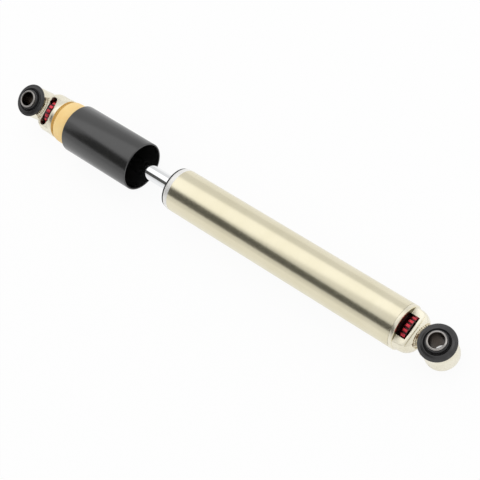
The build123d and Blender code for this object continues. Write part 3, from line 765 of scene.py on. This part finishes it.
SLIMMER = 0.6
FLATTER = 0.65
BUSH_STEPS = 112
to_upper = Matrix.Translation((EYE_TO_EYE, 0, 0)) @ Matrix.Rotation(UPPER_TURN, 4, "X")
TO_UPPER_EYE = to_upper @ Matrix.Rotation(math.pi, 4, "Z")


def slim(radius, height):
    """The same ring on the upper bush, whose rim is slimmer and lower."""
    if radius > RIM_START and height >= RIM_FOOT:
        return radius - SLIMMER, RIM_FOOT + (height - RIM_FOOT) * FLATTER
    return radius, height


def carried(piece, name, matrix):
    """A copy of a piece with its own mesh, moved there for good."""
    twin = bpy.data.objects.new(name, piece.data.copy())
    bpy.context.scene.collection.objects.link(twin)
    twin.data.transform(matrix)
    return twin


lower_bush = drawn_out("lower_bush_moulded", FRONT_HALF + BACK_HALF, BUSH_STEPS, True)
slim_half = [slim(*ring) for ring in FRONT_HALF]
slim_bush = drawn_out("slim_bush", slim_half + BACK_HALF, BUSH_STEPS, True)
upper_bush = carried(slim_bush, "upper_bush_moulded", TO_UPPER_EYE)
bpy.data.objects.remove(slim_bush)
stand_for(lower_bush, "lower_bush")
stand_for(upper_bush, "upper_bush")

# %% [markdown]
# ## Bump stop
# The stop is one piece of foam. Its flange sits between the dust tube and the upper housing and
# never moves, and its bulged end is crushed by the cap as the damper shortens. A piece can only
# squash as a whole, so the stop is made as two, which meet under the dust tube's lip.

# %% Bump stop
STOP_BORE = 8.3
STOP_SPLIT = 452.0
STOP_NOSE = 420.0
NOSE_RADIUS = 12.2
FOOT_RADIUS = 20.45
FLANGE = [
    (STOP_BORE, STOP_SPLIT), (20.5, STOP_SPLIT), (21.85, 454.4), (20.5, 454.45), (20.5, 456.55),
    (22.2, 456.58), (22.6, 456.75), (22.75, 457.1), (22.8, 459.0), (22.85, 464.0), (22.8, 469.5),
    (22.7, 471.6), (22.35, 472.8), (21.7, 473.6), (20.8, 473.95), (19.5, 474.0), (17.6, 474.0),
    (17.1, 474.2), (17.0, 474.7), (17.0, 477.35), (STOP_BORE, 477.35),
]
FOAM_SWELLS = [
    (420.6, 12.9), (425.6, 16.8), (430.5, 14.2), (436.8, 18.2), (442.9, 15.2), (451.2, 20.3),
]
SWELL_STEPS = 9
SPLIT_GAP = 0.02
FLANGE_STEPS = 128
FOAM_STEPS = 96


def swelling(swells):
    """Points of a smooth wave through (place, radius) crests and hollows."""
    points = []
    for (start, low), (end, high) in zip(swells, swells[1:]):
        for step in range(SWELL_STEPS):
            part = step / SWELL_STEPS
            ease = (1 - math.cos(math.pi * part)) / 2
            points.append((low + (high - low) * ease, start + (end - start) * part))
    return points + [(swells[-1][1], swells[-1][0])]


flange = drawn_out("bump_stop_flange", FLANGE, FLANGE_STEPS, False)
foam_end = STOP_SPLIT - SPLIT_GAP
foam_profile = [(STOP_BORE, STOP_NOSE), (NOSE_RADIUS, STOP_NOSE)] + swelling(FOAM_SWELLS)
foam_profile += [(FOOT_RADIUS, foam_end), (STOP_BORE, foam_end)]
foam = drawn_out("bump_stop_foam", foam_profile, FOAM_STEPS, False)
stand_for(flange, "bump_stop")
stand_for(foam, "bump_stop")
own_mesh(foam)

# %% [markdown]
# ## Weld beads
# Each ring is welded to its neck by hand: two rows of overlapping drops in front, one behind and
# one down each side. A smooth bar would look cast, and displacing one would smear the drops. So
# one drop is modelled, copied along the seams, and a voxel Remesh melts the copies together.

# %% Weld beads
DROP_STEP = 2.1
WELD_REACH = math.radians(32)
RING_RADIUS = 16.4
FRONT_CIRCLE = 18.3
OUTER_CIRCLE = 21.4
BACK_CIRCLE = 18.8
BACK_HEIGHT = -13.0
SIDE_START = -11.9
SIDE_SPARE = 11.4
DROP_LENGTH = 1.6
UNEVEN = 0.07
MELT_VOXEL = 0.28
LOWER_PLATEAU = 8.0
UPPER_PLATEAU = 11.7


def seam(plateau):
    """Places, turns and half sizes of the drops along the seams of a ring, in millimetres."""
    drops = []
    rows = (
        (FRONT_CIRCLE, plateau - 0.9, 2.0), (OUTER_CIRCLE, plateau - 0.7, 1.7),
        (BACK_CIRCLE, BACK_HEIGHT, 1.35),
    )
    for circle, height, across in rows:
        count = round(2 * WELD_REACH * circle / DROP_STEP)
        for index in range(count + 1):
            angle = WELD_REACH * (2 * index / count - 1)
            size = across * (1 + UNEVEN * math.sin(2.3 * index))
            place = (circle * math.cos(angle), circle * math.sin(angle), height)
            drops.append((place, angle, (size, DROP_LENGTH, size)))
    for side in (-1, 1):
        angle = side * WELD_REACH
        across, along = RING_RADIUS * math.cos(angle), RING_RADIUS * math.sin(angle)
        for index in range(round((plateau + SIDE_SPARE) / DROP_STEP) + 1):
            size = 2.0 * (1 + UNEVEN * math.sin(1.9 * index + side))
            place = (across, along, SIDE_START + index * DROP_STEP)
            drops.append((place, angle, (size, size, DROP_LENGTH)))
    return drops


def weld_beads(node, plateau, matrix):
    """The beads round one ring, melted into one mesh."""
    deselect()
    bpy.ops.mesh.primitive_uv_sphere_add(segments=20, ring_count=12, radius=1)
    drop = bpy.context.object
    copies = []
    for place, angle, size in seam(plateau):
        move = Matrix.Translation(Vector(place) * MM) @ Matrix.Rotation(angle, 4, "Z")
        grow = Matrix.Diagonal((*(value * MM for value in size), 1))
        copies.append(carried(drop, "weld_drop", matrix @ move @ grow))
    bpy.data.objects.remove(drop)
    deselect()
    for copy in copies:
        copy.select_set(True)
    piece = copies[0]
    bpy.context.view_layer.objects.active = piece
    bpy.ops.object.join()
    piece.name = "beads_" + node
    melt = piece.modifiers.new("melt", "REMESH")
    melt.mode = "VOXEL"
    melt.voxel_size = MELT_VOXEL * MM
    ease = piece.modifiers.new("ease", "SMOOTH")
    ease.factor = 0.5
    ease.iterations = 2
    apply_all(piece)
    bpy.ops.object.shade_smooth()
    stand_for(piece, node)


weld_beads("lower_weld", LOWER_PLATEAU, Matrix.Identity(4))
weld_beads("upper_weld", UPPER_PLATEAU, TO_UPPER_EYE)
